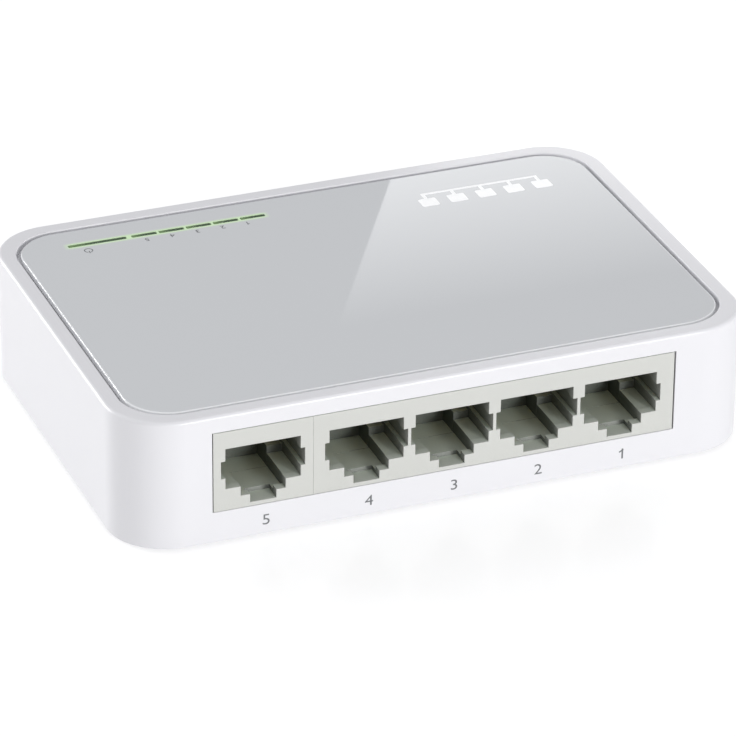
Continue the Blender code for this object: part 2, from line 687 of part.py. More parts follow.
def make_chip_packages():
    for port, x in PORT_X.items():
        low = Vector((x, TRANSFORMER_Y, PARTS_FLOOR)) - Vector((TRANSFORMER.x, TRANSFORMER.y, 0)) / 2
        body = box(f"transformer_{port}", low, low + TRANSFORMER, BLACK_EPOXY, top_edge=PACKAGE_EDGE)
        rows = leads(8, TRANSFORMER_PITCH, 2.5 * MM, TRANSFORMER_SPAN, LEAD_HEIGHT, True)
        feet = blocks(f"transformer_leads_{port}", rows)
        feet.location = (x, TRANSFORMER_Y, PARTS_FLOOR)
        join(body, feet)
    low = Vector((CHIP_X, CHIP_Y, PARTS_FLOOR)) - Vector((CHIP.x, CHIP.y, 0)) / 2
    body = box("switch_chip", low, low + CHIP, BLACK_EPOXY)
    rows = leads(16, CHIP_PITCH, 2.2 * MM, CHIP_SPAN, LEAD_HEIGHT, True)
    rows += leads(16, CHIP_PITCH, 2.2 * MM, CHIP_SPAN, LEAD_HEIGHT, False)
    pins = blocks("switch_chip_leads", rows)
    pins.location = (CHIP_X, CHIP_Y, PARTS_FLOOR)
    join(body, pins)


def make_small_parts():
    """Clock crystal and the supply's coil, regulator, diode and two can capacitors."""
    crystal_x = CHIP_X - CHIP_SPAN / 2 - CRYSTAL_FROM_CHIP - CRYSTAL.x / 2
    low = Vector((crystal_x, CHIP_Y, PARTS_FLOOR)) - Vector((CRYSTAL.x, CRYSTAL.y, 0)) / 2
    box(
        "crystal", low, low + CRYSTAL, CAN_ALUMINIUM, corner=CRYSTAL_ROUND, top_edge=PACKAGE_EDGE
    )
    supply_x = SIDE - WALL - DC_LENGTH
    for name, x, y, extent, finish in (
        ("power_inductor", supply_x - 8.0 * MM, DC_Y, INDUCTOR, FERRITE),
        ("voltage_regulator", supply_x - 7.5 * MM, DC_Y - 8.0 * MM, REGULATOR, BLACK_EPOXY),
        ("input_diode", supply_x - 1.0 * MM, DC_Y + 8.0 * MM, DIODE, BLACK_EPOXY),
    ):
        low = Vector((x, y, PARTS_FLOOR)) - Vector((extent.x, extent.y, 0)) / 2
        box(name, low, low + extent, finish, top_edge=PACKAGE_EDGE)
    for name, x, y, radius, height in (
        ("input_capacitor", supply_x - 8.0 * MM, DC_Y + 8.2 * MM, INPUT_CAN_RADIUS, INPUT_CAN_HEIGHT),
        ("output_capacitor", supply_x + 1.5 * MM, DC_Y - 10.5 * MM, OUTPUT_CAN_RADIUS, OUTPUT_CAN_HEIGHT),
    ):
        waist = radius - CAN_LIP
        profile = [
            (0, height), (waist, height), (radius, height - CAN_LIP), (radius, 1.6 * MM),
            (waist, 1.3 * MM), (radius, MM), (radius, 0), (0, 0),
        ]
        turned(name, profile, (x, y, PARTS_FLOOR), CAN_ALUMINIUM)


def foot_places():
    x = SIDE - FOOT_INSET
    y = BACK - FOOT_INSET
    return {
        "foot_front_left": (-x, -y), "foot_front_right": (x, -y),
        "foot_rear_left": (-x, y), "foot_rear_right": (x, y),
    }


def make_feet():
    top = FOOT_PROUD + FOOT_RECESS - SEAT_GAP
    edge = 0.15 * MM
    profile = [(0, top), (FOOT_RADIUS, top), (FOOT_RADIUS, edge), (FOOT_RADIUS - edge, 0), (0, 0)]
    for name, (x, y) in foot_places().items():
        turned(name, profile, (x, y, 0), RUBBER)


def make_screws():
    seat = CASE_BOTTOM + SCREW_WELL_DEPTH - SEAT_GAP
    head = SCREW_HEAD_RADIUS
    shank = SCREW_SHANK_RADIUS
    profile = [
        (0, SCREW_SHANK_LENGTH), (shank / 2, SCREW_SHANK_LENGTH), (shank, SCREW_SHANK_LENGTH - shank),
        (shank, 0), (head, 0), (head, -0.6 * SCREW_HEAD_HEIGHT), (0.6 * head, -SCREW_HEAD_HEIGHT),
        (0, -SCREW_HEAD_HEIGHT),
    ]
    for side, (x, y) in SCREW_PLACES.items():
        turned(f"case_screw_{side}", profile, (x, y, seat), TINNED)


def make_label():
    high = CASE_BOTTOM + LABEL_RECESS - SEAT_GAP
    box(
        "rating_label", (-LABEL_WIDTH / 2, -LABEL_DEPTH / 2, high - LABEL_THICKNESS),
        (LABEL_WIDTH / 2, LABEL_DEPTH / 2, high), LABEL_FILM,
    )


make_top_housing()
make_base_cover()
make_top_plate()
make_light_guide()
make_leds()
make_board()
make_jack_housings()
make_contacts()
make_power_socket()
make_chip_packages()
make_small_parts()
make_feet()
make_screws()
make_label()
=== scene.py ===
# %% [markdown]
# # A five-port desktop network switch
#
# The measured model of the switch is loaded first. It fixes every size and every moving piece.
# This script then models the pieces that show again, with the small roundings, lips and slots
# that catch light, and gives every piece a finish. Lengths are in metres, and MM turns a figure
# in millimetres into metres. X runs along the sockets, +Y points away from them, +Z is up.

import json
import math

import bpy
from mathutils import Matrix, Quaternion, Vector


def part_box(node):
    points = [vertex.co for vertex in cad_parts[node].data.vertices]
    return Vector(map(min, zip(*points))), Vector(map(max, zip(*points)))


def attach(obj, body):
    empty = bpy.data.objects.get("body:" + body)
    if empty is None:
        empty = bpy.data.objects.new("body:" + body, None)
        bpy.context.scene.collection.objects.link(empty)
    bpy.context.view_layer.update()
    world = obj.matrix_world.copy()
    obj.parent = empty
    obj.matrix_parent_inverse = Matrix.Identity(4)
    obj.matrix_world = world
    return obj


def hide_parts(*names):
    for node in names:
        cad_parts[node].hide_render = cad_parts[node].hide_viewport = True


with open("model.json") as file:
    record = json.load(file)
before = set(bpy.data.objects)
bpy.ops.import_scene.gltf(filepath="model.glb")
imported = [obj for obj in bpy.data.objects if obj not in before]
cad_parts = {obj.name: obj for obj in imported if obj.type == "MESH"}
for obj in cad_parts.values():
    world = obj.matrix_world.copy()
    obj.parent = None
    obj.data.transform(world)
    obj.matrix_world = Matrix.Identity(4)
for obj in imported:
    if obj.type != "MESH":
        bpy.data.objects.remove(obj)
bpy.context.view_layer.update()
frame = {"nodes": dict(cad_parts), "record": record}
MM = 0.001
SHELL = "switch_body"

# %% [markdown]
# ## Shared sizes
#
# Every piece stands where the measured model has it, so sizes and places are read from the
# boxes of its nodes. A few sizes inside a piece, such as a corner radius, can't be read from a
# box and are written out here, each under its own name. Two things differ on purpose: the plate's
# face is 0.2 mm higher than measured, so that its groove can be seen over the front rim, and some
# gaps round the plate and the sockets are tighter.

# %% Sizes read from the model and sizes written out
CASE_LOW, CASE_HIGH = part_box("top_housing")
PLATE_LOW, PLATE_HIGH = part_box("top_plate")
PLATE_LIFT = 0.2 * MM
PLATE_HIGH.z += PLATE_LIFT
BASE_LOW, BASE_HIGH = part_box("base_cover")
SINGLE_LOW, SINGLE_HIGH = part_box("jack_housing_port_5")
GANG_LOW, GANG_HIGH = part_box("jack_housing_ports_1_to_4")
SEAM = (SINGLE_HIGH.x + GANG_LOW.x) / 2
FRONT = CASE_LOW.y
BACK = CASE_HIGH.y
SIDE = CASE_HIGH.x
TOP = CASE_HIGH.z
PORTS = (1, 2, 3, 4, 5)
PORT_X = {}
for port in PORTS:
    low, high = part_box(f"contact_springs_{port}")
    PORT_X[port] = (low.x + high.x) / 2

CORNER_RADIUS = 9.6 * MM
WALL = 1.8 * MM
GAP = 0.25 * MM
JACK_BOTTOM = 5.65 * MM
JACK_TOP = SINGLE_HIGH.z
JACK_LENGTH = 16.5 * MM
SEAM_GAP = 0.01 * MM
RECESS_INSET = 2.55 * MM
RECESS_RADIUS = 8.1 * MM
PLATE_RADIUS = 7.35 * MM
WEB_TOP = 20.7 * MM
WEB_BOTTOM = 19.5 * MM
print("port centres in mm:", {p: round(x / MM, 2) for p, x in PORT_X.items()})

# %% [markdown]
# ## Camera
#
# The switch is seen from its socket side, a little from the left and well from above, with a
# long lens, so that its edges stay nearly parallel. The camera is placed by its distance and its
# two angles round the origin, then pointed at a spot just above the middle of the case and
# rolled by half a degree.

# %% The camera
AZIMUTH = math.radians(-21.458)
ELEVATION = math.radians(28.33)
DISTANCE = 785.0 * MM
ROLL = math.radians(0.518)
LENS = 241.68
AIM = Vector((1.41, 2.06, 4.52)) * MM

standpoint = DISTANCE * Vector((
    math.sin(AZIMUTH) * math.cos(ELEVATION),
    -math.cos(AZIMUTH) * math.cos(ELEVATION),
    math.sin(ELEVATION),
))
turn = (AIM - standpoint).to_track_quat("-Z", "Y") @ Quaternion((0, 0, 1), ROLL)
bpy.ops.object.camera_add(location=standpoint, rotation=turn.to_euler())
camera = bpy.context.object
camera.data.lens = LENS
camera.data.sensor_width = 36.0
camera.data.clip_start = 0.01
bpy.context.scene.camera = camera
print("camera at", [round(v / MM, 1) for v in standpoint])

# %% [markdown]
# ## Light table, sky and softboxes
#
# A white product is shown on a light table: the floor glows, the sky is bright overhead and dark
# at the horizon, and two softboxes stand low beside the switch. The first is ahead, a little to
# the right, and lights the front. The second is behind, to the left, and lights the left side.
# Neither shines on the other's face. The sky is a gradient on the world's own direction. The
# floor lies a fiftieth of a millimetre below the feet, so that the two don't share a plane.
# Colours are shown as they are measured, so the view is set to Standard.

# %% The sky
HORIZON = 0.03
OVERHEAD = 1.12

world = bpy.data.worlds.new("studio_air")
bpy.context.scene.world = world
world.use_nodes = True
sky = world.node_tree
direction = sky.nodes.new("ShaderNodeTexCoord")
split = sky.nodes.new("ShaderNodeSeparateXYZ")
height_to_light = sky.nodes.new("ShaderNodeMapRange")
height_to_light.inputs["To Min"].default_value = HORIZON
height_to_light.inputs["To Max"].default_value = OVERHEAD
sky.links.new(direction.outputs["Generated"], split.inputs[0])
sky.links.new(split.outputs["Z"], height_to_light.inputs["Value"])
sky.links.new(height_to_light.outputs[0], sky.nodes["Background"].inputs["Strength"])
sky.nodes["Background"].inputs["Color"].default_value = (0.985, 0.99, 1.0, 1.0)
bpy.context.scene.view_settings.view_transform = "Standard"
print("sky from", HORIZON, "at the horizon to", OVERHEAD, "overhead")

# %% The floor
FLOOR_SIZE = 40.0
FLOOR_DROP = 0.02 * MM
bpy.ops.mesh.primitive_plane_add(size=FLOOR_SIZE, location=(0.0, 0.0, -FLOOR_DROP))
floor = bpy.context.object
floor.name = "light_table"
glow = bpy.data.materials.new("table_white")
glow.use_nodes = True
table_shader = glow.node_tree.nodes["Principled BSDF"]
table_shader.inputs["Base Color"].default_value = (0.54, 0.54, 0.542, 1.0)
table_shader.inputs["Roughness"].default_value = 0.2
table_shader.inputs["Specular IOR Level"].default_value = 0.3
table_shader.inputs["Emission Color"].default_value = (1.0, 1.0, 1.0, 1.0)
table_shader.inputs["Emission Strength"].default_value = 0.52
floor.data.materials.append(glow)
print("floor laid")


# %% The softboxes
def softbox(name, azimuth, elevation, distance, size, watts):
    """A square area light that faces the switch from a compass angle, counted from +X."""
    turn = math.radians(azimuth)
    rise = math.radians(elevation)
    place = distance * Vector((
        math.cos(turn) * math.cos(rise), math.sin(turn) * math.cos(rise), math.sin(rise)
    ))
    bpy.ops.object.light_add(type="AREA", location=place)
    lamp = bpy.context.object
    lamp.name = name
    lamp.data.size = size
    lamp.data.energy = watts
    lamp.rotation_euler = (-place).to_track_quat("-Z", "Y").to_euler()
    print(name, watts, "W")


softbox("key_softbox", azimuth=287.0, elevation=10.0, distance=1.2, size=0.3, watts=8.0)
softbox("left_softbox", azimuth=133.0, elevation=12.0, distance=1.1, size=0.5, watts=8.2)

# %% [markdown]
# ## The reflector behind the plate
#
# The glossy plate mirrors what stands behind the switch. A tall white card stands there, a
# little to the right, and fades out upwards, so the mirrored part is bright at the plate's back
# edge and melts away towards the sockets. The card is a slanted plane cut from a square, and
# only mirror-like rays meet it, so it lights nothing else.

# %% The card
CARD_Y = 120.0 * MM
CARD_LOW = 20.0 * MM
CARD_HIGH = 125.0 * MM
CARD_RIGHT = 300.0 * MM
CARD_FOOT_X = 69.1 * MM
CARD_SLANT = -0.356
FADE_START = 62.0 * MM
FADE_END = 97.0 * MM
CARD_STRENGTH = 2.35

bpy.ops.mesh.primitive_plane_add(size=1.0, rotation=(math.pi / 2, 0, 0))
card = bpy.context.object
card.name = "reflector_card"
bpy.ops.object.transform_apply(location=True, rotation=True, scale=True)
for vertex in card.data.vertices:
    height = CARD_LOW if vertex.co.z < 0 else CARD_HIGH
    left = CARD_FOOT_X + CARD_SLANT * (height - CARD_LOW)
    vertex.co = (left if vertex.co.x < 0 else CARD_RIGHT, CARD_Y, height)
fade = bpy.data.materials.new("fading_white")
fade.use_nodes = True
nodes = fade.node_tree.nodes
nodes.remove(nodes["Principled BSDF"])
place = nodes.new("ShaderNodeTexCoord")
axes = nodes.new("ShaderNodeSeparateXYZ")
ramp = nodes.new("ShaderNodeMapRange")
ramp.inputs["From Min"].default_value = FADE_START
ramp.inputs["From Max"].default_value = FADE_END
ramp.inputs["To Min"].default_value = CARD_STRENGTH
ramp.inputs["To Max"].default_value = 0.0
shine = nodes.new("ShaderNodeEmission")
clear = nodes.new("ShaderNodeBsdfTransparent")
both = nodes.new("ShaderNodeAddShader")
links = fade.node_tree.links
links.new(place.outputs["Object"], axes.inputs[0])
links.new(axes.outputs["Z"], ramp.inputs["Value"])
links.new(ramp.outputs[0], shine.inputs["Strength"])
links.new(shine.outputs[0], both.inputs[0])
links.new(clear.outputs[0], both.inputs[1])
links.new(both.outputs[0], nodes["Material Output"].inputs["Surface"])
card.data.materials.append(fade)
card.visible_camera = False
card.visible_diffuse = False
card.visible_shadow = False
card.visible_transmission = False
print("card from", round(CARD_FOOT_X / MM, 1), "to", round(CARD_RIGHT / MM, 1), "mm")

# %% [markdown]
# ## Finishes
#
# Most of the switch is moulded plastic. Seen close, such a surface isn't one colour: it has
# wide, faint clouds where the melt flowed, a fine grain from the spark-eroded tool, and edges
# that are painted a little lighter, a painted highlight. One helper builds that from two noises in
# the piece's own coordinates and from how sharply its mesh bends, so nothing needs unwrapping and
# nothing slides when a piece moves. Each finish then differs by its numbers.

# %% A helper that builds a finish
FINISHES = {}


def add_node(tree, kind, **values):
    """Adds a node and sets its sockets: an underscore stands for a space in a socket's name."""
    made = tree.nodes.new("ShaderNode" + kind)
    for name, value in values.items():
        made.inputs[name.replace("_", " ")].default_value = value
    return made


def ranged(tree, source, low, high, start=0.0, end=1.0):
    """Maps a value between start and end onto low to high."""
    made = add_node(tree, "MapRange", From_Min=start, From_Max=end, To_Min=low, To_Max=high)
    tree.links.new(source, made.inputs["Value"])
    return made.outputs[0]


def blend(tree, share, first, second):
    """Mixes two colours, each a plain colour or a socket."""
    made = tree.nodes.new("ShaderNodeMix")
    made.data_type = "RGBA"
    tree.links.new(share, made.inputs["Factor"])
    for socket, colour in ((made.inputs[6], first), (made.inputs[7], second)):
        if isinstance(colour, tuple):
            socket.default_value = (*colour, 1.0)
        else:
            tree.links.new(colour, socket)
    return made.outputs[2]


def tinted(colour, change):
    """A colour made lighter or darker by a share."""
    return tuple(min(1.0, part * (1.0 + change)) for part in colour)


def finish(name, colour, rough, cloud=0.02, cloud_size=12.0, grain=0.35, depth=0.004,
           metallic=0.0, edge=0.03):
    """A moulded or plated finish: clouds in the colour, a fine grain and a painted highlight on
    edges.

    An edge of 0 leaves the edges alone: on one very large face their tint spreads as streaks.
    """
    made = bpy.data.materials.new(name)
    made.use_nodes = True
    tree = made.node_tree
    shader = tree.nodes["Principled BSDF"]
    shader.inputs["Metallic"].default_value = metallic
    spot = tree.nodes.new("ShaderNodeTexCoord").outputs["Object"]
    clouds = add_node(tree, "TexNoise", Scale=1.0 / (cloud_size * MM), Detail=3.0)
    tree.links.new(spot, clouds.inputs["Vector"])
    mixed = blend(tree, clouds.outputs["Fac"], tinted(colour, -cloud), tinted(colour, cloud))
    if edge:
        # Sharp convex edges are painted lighter: a painted highlight.
        bend = tree.nodes.new("ShaderNodeNewGeometry").outputs["Pointiness"]
        painted_edge_highlight = ranged(tree, bend, 0.0, 1.0, 0.52, 0.62)
        mixed = blend(tree, painted_edge_highlight, mixed, tinted(colour, edge))
    tree.links.new(mixed, shader.inputs["Base Color"])
    dull = ranged(tree, clouds.outputs["Fac"], rough * 0.85, rough * 1.15, 0.3, 0.7)
    tree.links.new(dull, shader.inputs["Roughness"])
    pits = add_node(tree, "TexNoise", Scale=1.0 / (grain * MM), Detail=2.0)
    tree.links.new(spot, pits.inputs["Vector"])
    bump = add_node(tree, "Bump", Strength=0.35, Distance=depth * MM)
    tree.links.new(pits.outputs["Fac"], bump.inputs["Height"])
    tree.links.new(bump.outputs[0], shader.inputs["Normal"])
    FINISHES[name] = made
    return tree, shader, mixed


# %% [markdown]
# Light alone leaves the insides of the sockets too pale. So shade is painted into their plastic
# where other surfaces shelter it: walls and ceilings get a much darker painted shade, and floors,
# which look up, get painted light and turn a little lighter than the open face.

# %% The plastics
# Painted shade where the socket shelters a surface, with painted light on floors that face up.
PAINTED_SHADE_REACH = 14.0 * MM
PAINTED_SHADE_WALL = (0.07, 0.084, 0.066)
PAINTED_LIGHT_FLOOR = (0.6, 0.67, 0.58)
finish("white_abs", (0.69, 0.687, 0.712), 0.34, cloud=0.008, edge=0.012)
tree, shader, base_grey = finish(
    "jack_plastic", (0.525, 0.53, 0.505), 0.42, cloud=0.02, grain=0.25
)
facing = tree.nodes.new("ShaderNodeSeparateXYZ")
tree.links.new(tree.nodes.new("ShaderNodeNewGeometry").outputs["Normal"], facing.inputs[0])
painted_light_share = ranged(tree, facing.outputs["Z"], 0.0, 1.0, 0.3, 0.8)
painted_shade_colour = blend(tree, painted_light_share, PAINTED_SHADE_WALL, PAINTED_LIGHT_FLOOR)
# Ambient occlusion sets how much painted shade or painted light each spot of the sockets gets.
painted_shade_ao = add_node(tree, "AmbientOcclusion", Distance=PAINTED_SHADE_REACH)
painted_shade_ao.samples = 4
unshaded_share = ranged(tree, painted_shade_ao.outputs["AO"], 0.0, 1.0, 0.2, 0.66)
tree.links.new(blend(tree, unshaded_share, painted_shade_colour, base_grey), shader.inputs["Base Color"])
finish("black_plastic", (0.022, 0.022, 0.023), 0.4, cloud=0.15, edge=0.5)
finish("grey_rubber", (0.2, 0.2, 0.205), 0.75, cloud=0.1, grain=0.15, depth=0.02)
finish("label_film", (0.72, 0.73, 0.74), 0.38, cloud=0.02, cloud_size=4.0, depth=0.002)
finish("black_epoxy", (0.02, 0.02, 0.022), 0.55, cloud=0.2, grain=0.12, depth=0.01, edge=0.6)
finish("led_resin", (0.72, 0.82, 0.56), 0.22, cloud=0.05, cloud_size=1.0, depth=0.002)
finish("board_green", (0.02, 0.13, 0.05), 0.35, cloud=0.12, cloud_size=3.0, grain=0.5)
finish("ferrite", (0.05, 0.05, 0.055), 0.6, cloud=0.2, grain=0.1, depth=0.015)
print("finishes:", len(FINISHES))

# %% The metals
finish("gold_plating", (0.83, 0.6, 0.24), 0.22, cloud=0.05, cloud_size=1.0, metallic=1.0)
finish("tinned_metal", (0.6, 0.6, 0.58), 0.23, cloud=0.06, cloud_size=1.5, metallic=1.0)
finish("can_aluminium", (0.72, 0.72, 0.74), 0.34, cloud=0.04, cloud_size=2.0, metallic=1.0)
print("finishes:", len(FINISHES))

# %% [markdown]
# ## Ways of working
#
# Every piece starts as a primitive and is shaped as by hand: edges are picked by where they lie,
# then rounded, and holes are cut with a second solid. An operator acts on all that is selected,
# so each helper first deselects everything and selects only its own piece.

# %% Helpers for placing and selecting


def only(obj):
    """Selects one object and nothing else."""
    bpy.ops.object.select_all(action="DESELECT")
    obj.select_set(True)
    bpy.context.view_layer.objects.active = obj


def settle(obj):
    """Puts an object's place, turn and size into its mesh."""
    only(obj)
    bpy.ops.object.transform_apply(location=True, rotation=True, scale=True)
    return obj


def block(low, high):
    """A box between two opposite corners."""
    low = Vector(low)
    high = Vector(high)
    bpy.ops.mesh.primitive_cube_add(size=1.0, location=(low + high) / 2)
    made = bpy.context.object
    made.scale = high - low
    return settle(made)


def rod(start, end, radius, sides=64):
    """A round bar from one point to another."""
    start = Vector(start)
    end = Vector(end)
    bpy.ops.mesh.primitive_cylinder_add(
        vertices=sides, radius=radius, depth=(end - start).length, location=(start + end) / 2,
        rotation=(end - start).to_track_quat("Z", "Y").to_euler(),
    )
    return settle(bpy.context.object)


def pick_edges(obj, rule):
    """Opens obj for editing with only those edges selected whose two ends suit the rule."""
    only(obj)
    bpy.context.tool_settings.mesh_select_mode = (False, True, False)
    mesh = obj.data
    mesh.vertices.foreach_set("select", [False] * len(mesh.vertices))
    mesh.polygons.foreach_set("select", [False] * len(mesh.polygons))
    for edge in mesh.edges:
        one, other = (mesh.vertices[i].co for i in edge.vertices)
        edge.select = bool(rule(one, other))
    bpy.ops.object.mode_set(mode="EDIT")


def round_edges(obj, rule, radius, steps=3):
    """Rounds the edges that suit the rule."""
    pick_edges(obj, rule)
    bpy.ops.mesh.bevel(offset=radius, offset_type="OFFSET", segments=steps, profile=0.5)
    bpy.ops.object.mode_set(mode="OBJECT")
    return obj


# %% Helpers for rules, cutting and finishing


def upright(one, other):
    """Edges that stand along Z."""
    return abs(one.x - other.x) < 1e-6 and abs(one.y - other.y) < 1e-6


def level(height):
    """A rule for the edges that lie at one height."""
    return lambda one, other: abs(one.z - height) < 1e-6 and abs(other.z - height) < 1e-6


def everywhere(one, other):
    """A rule for all edges."""
    return True


def combine(obj, tool, operation="DIFFERENCE"):
    """Cuts tool out of obj, or joins it on, and removes the tool."""
    only(obj)
    change = obj.modifiers.new("combine", "BOOLEAN")
    change.operation = operation
    change.solver = "EXACT"
    change.object = tool
    bpy.ops.object.modifier_apply(modifier=change.name)
    bpy.data.objects.remove(tool, do_unlink=True)
    return obj


def join_pieces(pieces):
    """Makes one object of several that don't touch."""
    bpy.ops.object.select_all(action="DESELECT")
    for piece in pieces:
        piece.select_set(True)
    bpy.context.view_layer.objects.active = pieces[0]
    if len(pieces) > 1:
        bpy.ops.object.join()
    return pieces[0]


def hand_over(obj, name, slot, node=None, body=SHELL, angle=35.0, material=None):
    """Shades and names a finished piece, gives it its finish and lets it ride on its body."""
    only(obj)
    bpy.ops.object.shade_smooth_by_angle(angle=math.radians(angle))
    even = obj.modifiers.new("even_shading", "WEIGHTED_NORMAL")
    even.weight = 100
    even.keep_sharp = True
    bpy.ops.object.modifier_apply(modifier=even.name)
    obj.name = name
    obj.data.name = name
    obj.data.materials.clear()
    obj.data.materials.append(FINISHES[material or slot])
    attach(obj, body)
    if node:
        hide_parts(node)
    print(name, len(obj.data.polygons), "faces")
    return obj


# %% [markdown]
# ## Top housing
#
# The white case is one moulding: a rounded block, hollow from below, with a shallow recess on top
# for the plate and a window for the sockets. It could be drawn as a profile and swept, but its
# corners have two different radii, 9.6 mm outside and 8.1 mm in the recess, so a rounded block
# with two rounded cutters gives both exactly. The recess is a little tighter at the right and the
# back, where the groove hardly shows. Its fine edges are rounded afterwards.

# %% A rounded block


def rounded_block(low, high, radius, steps=24):
    """A box with rounded upright edges."""
    return round_edges(block(low, high), upright, radius, steps)


shell = rounded_block(CASE_LOW, CASE_HIGH, CORNER_RADIUS)
round_edges(shell, level(TOP), 0.6 * MM, 5)
round_edges(shell, level(CASE_LOW.z), 0.25 * MM, 2)
print("outer block", len(shell.data.polygons), "faces")

# %% The hollow, the recess and the window
hollow = rounded_block(
    (-SIDE + WALL, FRONT + WALL, CASE_LOW.z - MM), (SIDE - WALL, BACK - WALL, WEB_BOTTOM),
    CORNER_RADIUS - WALL,
)
combine(shell, hollow)
RIGHT_CLOSER = 0.2 * MM
BACK_CLOSER = 0.15 * MM
recess = rounded_block(
    (-SIDE + RECESS_INSET, FRONT + RECESS_INSET, WEB_TOP),
    (SIDE - RECESS_INSET - RIGHT_CLOSER, BACK - RECESS_INSET - BACK_CLOSER, TOP + MM),
    RECESS_RADIUS,
)
combine(shell, recess)
WINDOW_GAP = 0.06 * MM
LEFT_GAP = 1.5 * WINDOW_GAP
RIGHT_GAP = 4.0 * WINDOW_GAP
WINDOW_LOW = Vector((SINGLE_LOW.x - LEFT_GAP, FRONT - MM, JACK_BOTTOM - WINDOW_GAP))
WINDOW_HIGH = Vector((GANG_HIGH.x + RIGHT_GAP, FRONT + WALL + MM, JACK_TOP + WINDOW_GAP))
combine(shell, block(WINDOW_LOW, WINDOW_HIGH))
print("window", [round(v / MM, 2) for v in (WINDOW_HIGH - WINDOW_LOW)])


# %% Fine edges of the recess and the window
def recess_rim(one, other):
    """Edges of the recess at the top face."""
    inside = max(abs(one.x), abs(other.x)) < SIDE - 2 * MM
    inside = inside and max(abs(one.y), abs(other.y)) < BACK - 2 * MM
    return inside and level(TOP)(one, other)


def window_rim(one, other):
    """Edges of the window at the front face."""
    flat = abs(one.y - FRONT) < 1e-6 and abs(other.y - FRONT) < 1e-6
    high = min(one.z, other.z) > WINDOW_LOW.z - 1e-5 and max(one.z, other.z) < WINDOW_HIGH.z + 1e-5
    wide = max(abs(one.x), abs(other.x)) < 39 * MM
    return flat and high and wide


round_edges(shell, recess_rim, 0.15 * MM, 3)
round_edges(shell, window_rim, 0.12 * MM, 2)

# %% [markdown]
# The light bars shine through slots in the web under the plate, and the power socket's collar
# shows in a round hole in the right-hand wall. Two bosses take the case screws.

# %% Slots, the power hole and the bosses
GUIDE_LOW, GUIDE_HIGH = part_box("light_guide")
LAMP_Y = (GUIDE_LOW.y + GUIDE_HIGH.y) / 2
BAR_WIDTH = 0.6 * MM
POWER_BAR = (GUIDE_LOW.x, GUIDE_LOW.x + 9.5 * MM)
PORT_BAR_LENGTH = 4.0 * MM
PORT_BAR_PITCH = 4.6 * MM
BARS = [POWER_BAR]
for number in range(5):
    right = GUIDE_HIGH.x - (4 - number) * PORT_BAR_PITCH
    BARS.append((right - PORT_BAR_LENGTH, right))
BAR_GAP = 0.12 * MM


def bar_slots(low, high):
    """One cutter with a round-ended slot for each light bar."""
    slots = []
    for left, right in BARS:
        slot = block(
            (left - BAR_GAP, LAMP_Y - BAR_WIDTH / 2 - BAR_GAP, low),
            (right + BAR_GAP, LAMP_Y + BAR_WIDTH / 2 + BAR_GAP, high),
        )
        slots.append(round_edges(slot, upright, 0.2 * MM, 3))
    return join_pieces(slots)


combine(shell, bar_slots(WEB_BOTTOM - MM, WEB_TOP + MM))
DC_LOW, DC_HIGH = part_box("dc_jack_housing")
PIN_LOW, PIN_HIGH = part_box("dc_centre_pin")
DC_Y = (PIN_LOW.y + PIN_HIGH.y) / 2
DC_Z = (PIN_LOW.z + PIN_HIGH.z) / 2
HOLE_RADIUS = 4.25 * MM
hole = rod((SIDE - WALL - MM, DC_Y, DC_Z), (SIDE + MM, DC_Y, DC_Z), HOLE_RADIUS)
combine(shell, hole)
SCREWS = {"left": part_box("case_screw_left"), "right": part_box("case_screw_right")}
for low, high in SCREWS.values():
    x = (low.x + high.x) / 2
    foot = low.z + 3.5 * MM
    boss = rod((x, 0, foot), (x, 0, WEB_BOTTOM + 0.6 * MM), 3.2 * MM, 48)
    combine(shell, boss, "UNION")
    combine(shell, rod((x, 0, foot - MM), (x, 0, high.z), 1.45 * MM, 32))


def hole_rim(one, other):
    """The power hole's edge at the outer face."""
    flat = abs(one.x - SIDE) < 1e-6 and abs(other.x - SIDE) < 1e-6
    near = all(abs(math.hypot(p.y - DC_Y, p.z - DC_Z) - HOLE_RADIUS) < 1e-5 for p in (one, other))
    return flat and near


round_edges(shell, hole_rim, 0.2 * MM, 3)
hand_over(shell, "case_top", "white_abs", "top_housing")

# %% [markdown]
# ## Top plate
#
# The grey plate is a flat, glossy sheet with rounded corners and a softly rounded rim. It lies in
# the recess and leaves a narrow groove all round. Its rounded rim and its sides down in the groove
# are painted paler than its face, a painted highlight, so a thin bright line runs beside the
# groove.
# Round the light bars it is tinted: the green light spreads a little into the plate and gives each
# bar a pale edge.

# %% The plate
plate = rounded_block(PLATE_LOW, PLATE_HIGH, PLATE_RADIUS)
round_edges(plate, level(PLATE_HIGH.z), 0.3 * MM, 5)
combine(plate, bar_slots(PLATE_LOW.z - MM, PLATE_HIGH.z + MM))
tree, shader, base_grey = finish(
    "grey_plate", (0.575, 0.587, 0.605), 0.03, cloud=0.006, cloud_size=30.0, depth=0.0004, edge=0.0
)
shader.inputs["IOR"].default_value = 1.52
spot = tree.nodes.new("ShaderNodeTexCoord").outputs["Object"]
axes = tree.nodes.new("ShaderNodeSeparateXYZ")
tree.links.new(spot, axes.inputs[0])
away = add_node(tree, "Math")
away.operation = "SUBTRACT"
away.inputs[1].default_value = LAMP_Y
tree.links.new(axes.outputs["Y"], away.inputs[0])
off_line = add_node(tree, "Math")
off_line.operation = "ABSOLUTE"
tree.links.new(away.outputs[0], off_line.inputs[0])
HALO_INNER = 0.5 * MM
HALO_OUTER = 1.15 * MM
HALO_PAST = 0.9 * MM
HALO_SHORT = 0.3 * MM
HALO_GREEN = (0.64, 0.84, 0.53)
PAINTED_RIM_HIGHLIGHT = (0.93, 0.94, 0.95)
along = axes.outputs["X"]
left_end = GUIDE_LOW.x
right_end = GUIDE_HIGH.x
across = ranged(tree, off_line.outputs[0], 1.0, 0.0, HALO_INNER, HALO_OUTER)
